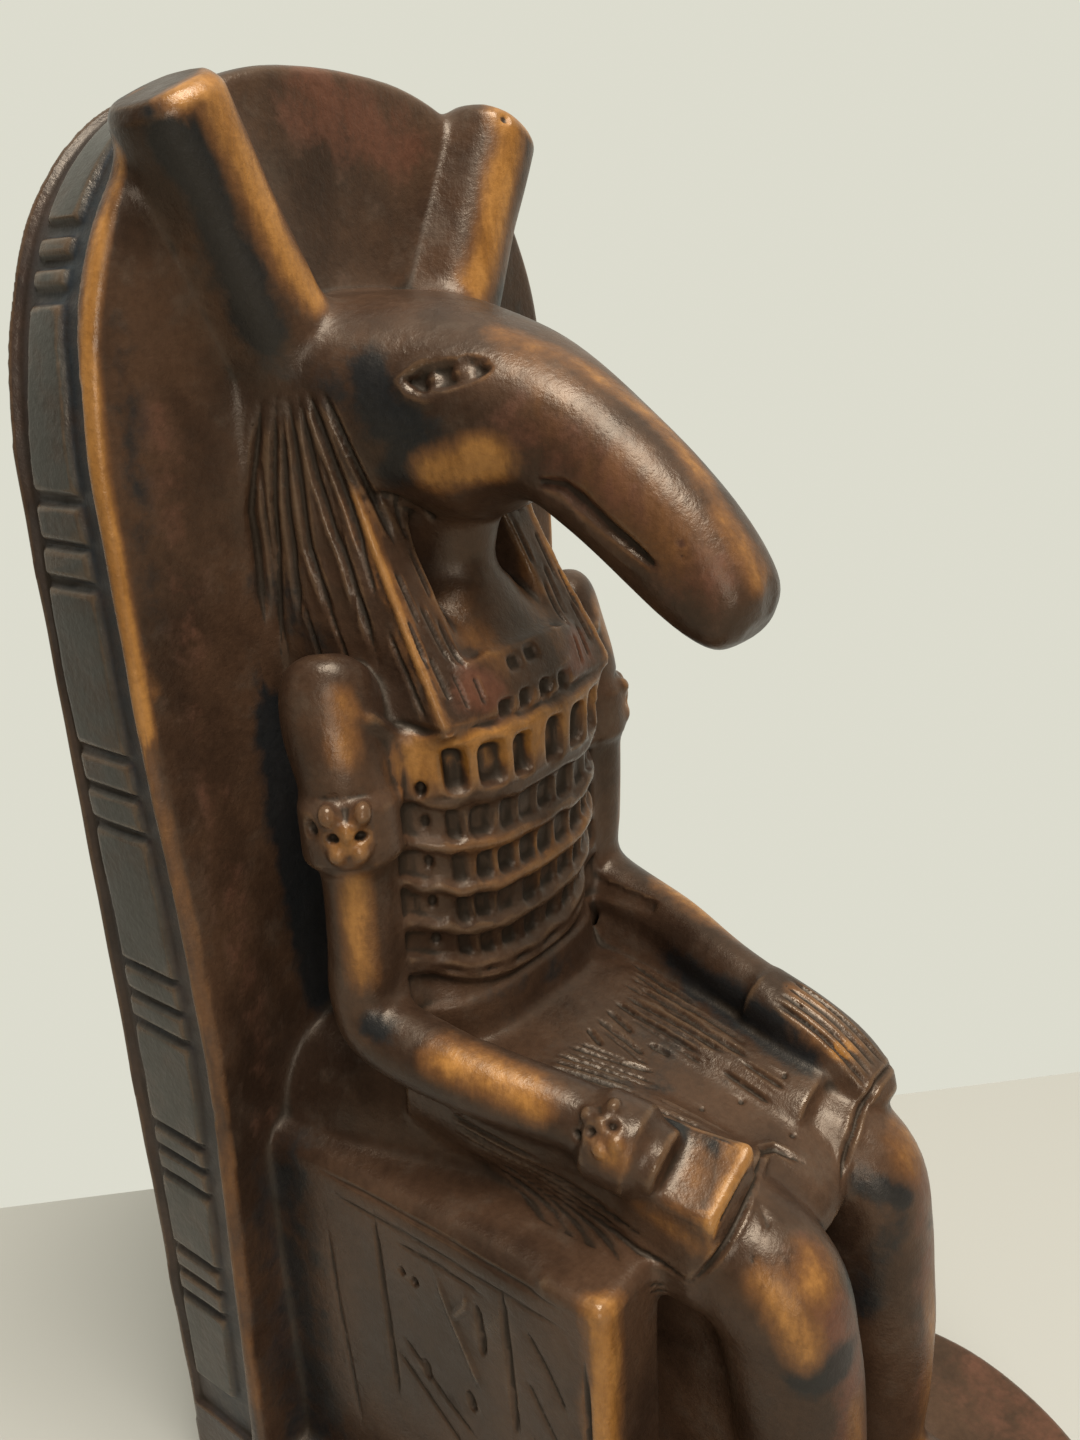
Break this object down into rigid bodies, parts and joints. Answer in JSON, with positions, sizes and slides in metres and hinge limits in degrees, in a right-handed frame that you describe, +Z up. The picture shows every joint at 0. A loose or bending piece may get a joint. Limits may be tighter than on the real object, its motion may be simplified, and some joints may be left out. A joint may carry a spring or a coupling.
{
  "type": "seated deity statue",
  "caption": "Seated animal-headed figure on a throne with a round-topped back slab, cast in one piece on a low round-fronted base.",
  "frame": {"origin": "middle of the underside of the base, as a box", "axes": "+Z up, the figure faces -Y, its right hand is at -X"},
  "size_m": [0.1, 0.1586, 0.25],
  "materials": {
    "dark_stone": "polished dark brown with golden brown rubbed edges"
  },
  "bodies": {
    "root": {"seth_statue": "dark_stone"}
  },
  "joints": []
}
